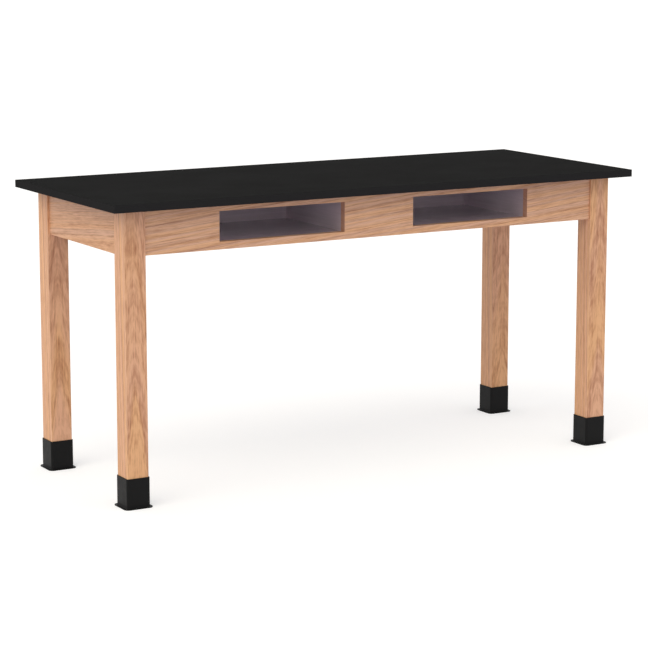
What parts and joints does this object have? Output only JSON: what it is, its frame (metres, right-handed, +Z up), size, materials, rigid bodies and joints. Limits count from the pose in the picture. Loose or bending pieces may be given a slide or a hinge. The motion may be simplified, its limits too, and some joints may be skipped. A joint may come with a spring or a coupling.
{
  "type": "science lab table",
  "caption": "Free-standing laboratory table: black work top on a square-legged oak frame, book compartments in the long apron, rubber leg boots over levelling glides.",
  "frame": {"origin": "on the floor, under the middle of the table", "axes": "+X along the table, +Y from the front, with the book openings, to the rear, +Z up"},
  "size_m": [1.524, 0.6096, 0.7556],
  "materials": {
    "black_resin_top": "satin",
    "red_oak": "satin",
    "melamine_faced_board": "matte",
    "black_rubber": "matte",
    "zinc_plated_steel": "satin",
    "grey_nylon": "matte"
  },
  "bodies": {
    "table": {"block_apron_screws": "zinc_plated_steel", "block_side_screws": "zinc_plated_steel", "bracket_nuts": "zinc_plated_steel", "bracket_screws": "zinc_plated_steel", "bracket_washers": "zinc_plated_steel", "cleat_side_screws": "zinc_plated_steel", "cleat_top_screws": "zinc_plated_steel", "corner_bracket_front_left": "zinc_plated_steel", "corner_bracket_front_right": "zinc_plated_steel", "corner_bracket_rear_left": "zinc_plated_steel", "corner_bracket_rear_right": "zinc_plated_steel", "front_apron": "red_oak", "hanger_bolts": "zinc_plated_steel", "left_apron": "red_oak", "left_compartment_back": "melamine_faced_board", "left_compartment_floor": "melamine_faced_board", "left_compartment_inner_block": "red_oak", "left_compartment_inner_cleat": "red_oak", "left_compartment_inner_side": "melamine_faced_board", "left_compartment_outer_block": "red_oak", "left_compartment_outer_cleat": "red_oak", "left_compartment_outer_side": "melamine_faced_board", "leg_front_left": "red_oak", "leg_front_right": "red_oak", "leg_insert_front_left": "zinc_plated_steel", "leg_insert_front_right": "zinc_plated_steel", "leg_insert_rear_left": "zinc_plated_steel", "leg_insert_rear_right": "zinc_plated_steel", "leg_rear_left": "red_oak", "leg_rear_right": "red_oak", "rear_apron": "red_oak", "right_apron": "red_oak", "right_compartment_back": "melamine_faced_board", "right_compartment_floor": "melamine_faced_board", "right_compartment_inner_block": "red_oak", "right_compartment_inner_cleat": "red_oak", "right_compartment_inner_side": "melamine_faced_board", "right_compartment_outer_block": "red_oak", "right_compartment_outer_cleat": "red_oak", "right_compartment_outer_side": "melamine_faced_board", "top_clip_screws": "zinc_plated_steel", "top_clips": "zinc_plated_steel", "work_top": "black_resin_top"},
    "boot_front_left": {"boot_front_left": "black_rubber"},
    "pad_front_left": {"glide_pad_front_left": "grey_nylon"},
    "stem_front_left": {"glide_stem_front_left": "zinc_plated_steel"},
    "boot_front_right": {"boot_front_right": "black_rubber"},
    "pad_front_right": {"glide_pad_front_right": "grey_nylon"},
    "stem_front_right": {"glide_stem_front_right": "zinc_plated_steel"},
    "boot_rear_left": {"boot_rear_left": "black_rubber"},
    "pad_rear_left": {"glide_pad_rear_left": "grey_nylon"},
    "stem_rear_left": {"glide_stem_rear_left": "zinc_plated_steel"},
    "boot_rear_right": {"boot_rear_right": "black_rubber"},
    "pad_rear_right": {"glide_pad_rear_right": "grey_nylon"},
    "stem_rear_right": {"glide_stem_rear_right": "zinc_plated_steel"}
  },
  "joints": [
    {"name": "boot_slide_front_left", "type": "slide", "parent": "table", "child": "boot_front_left", "axis": [0, 0, 1], "range_m": [-0.01905, 0.05]},
    {"name": "glide_travel_front_left", "type": "slide", "parent": "table", "child": "pad_front_left", "axis": [0, 0, -1], "range_m": [0, 0.01905]},
    {"name": "stem_turn_front_left", "type": "hinge", "parent": "pad_front_left", "child": "stem_front_left", "pos_m": [-0.68898, -0.23178, 0.0065], "axis": [0, 0, -1], "range_deg": [0, 4320]},
    {"name": "boot_slide_front_right", "type": "slide", "parent": "table", "child": "boot_front_right", "axis": [0, 0, 1], "range_m": [-0.01905, 0.05]},
    {"name": "glide_travel_front_right", "type": "slide", "parent": "table", "child": "pad_front_right", "axis": [0, 0, -1], "range_m": [0, 0.01905]},
    {"name": "stem_turn_front_right", "type": "hinge", "parent": "pad_front_right", "child": "stem_front_right", "pos_m": [0.68898, -0.23178, 0.0065], "axis": [0, 0, -1], "range_deg": [0, 4320]},
    {"name": "boot_slide_rear_left", "type": "slide", "parent": "table", "child": "boot_rear_left", "axis": [0, 0, 1], "range_m": [-0.01905, 0.05]},
    {"name": "glide_travel_rear_left", "type": "slide", "parent": "table", "child": "pad_rear_left", "axis": [0, 0, -1], "range_m": [0, 0.01905]},
    {"name": "stem_turn_rear_left", "type": "hinge", "parent": "pad_rear_left", "child": "stem_rear_left", "pos_m": [-0.68898, 0.23178, 0.0065], "axis": [0, 0, -1], "range_deg": [0, 4320]},
    {"name": "boot_slide_rear_right", "type": "slide", "parent": "table", "child": "boot_rear_right", "axis": [0, 0, 1], "range_m": [-0.01905, 0.05]},
    {"name": "glide_travel_rear_right", "type": "slide", "parent": "table", "child": "pad_rear_right", "axis": [0, 0, -1], "range_m": [0, 0.01905]},
    {"name": "stem_turn_rear_right", "type": "hinge", "parent": "pad_rear_right", "child": "stem_rear_right", "pos_m": [0.68898, 0.23178, 0.0065], "axis": [0, 0, -1], "range_deg": [0, 4320]}
  ],
  "couplings": [
    {"joint": "stem_turn_front_left", "follows": "glide_travel_front_left", "rad_per_m": 3957.9},
    {"joint": "stem_turn_front_right", "follows": "glide_travel_front_right", "rad_per_m": 3957.9},
    {"joint": "stem_turn_rear_left", "follows": "glide_travel_rear_left", "rad_per_m": 3957.9},
    {"joint": "stem_turn_rear_right", "follows": "glide_travel_rear_right", "rad_per_m": 3957.9}
  ]
}
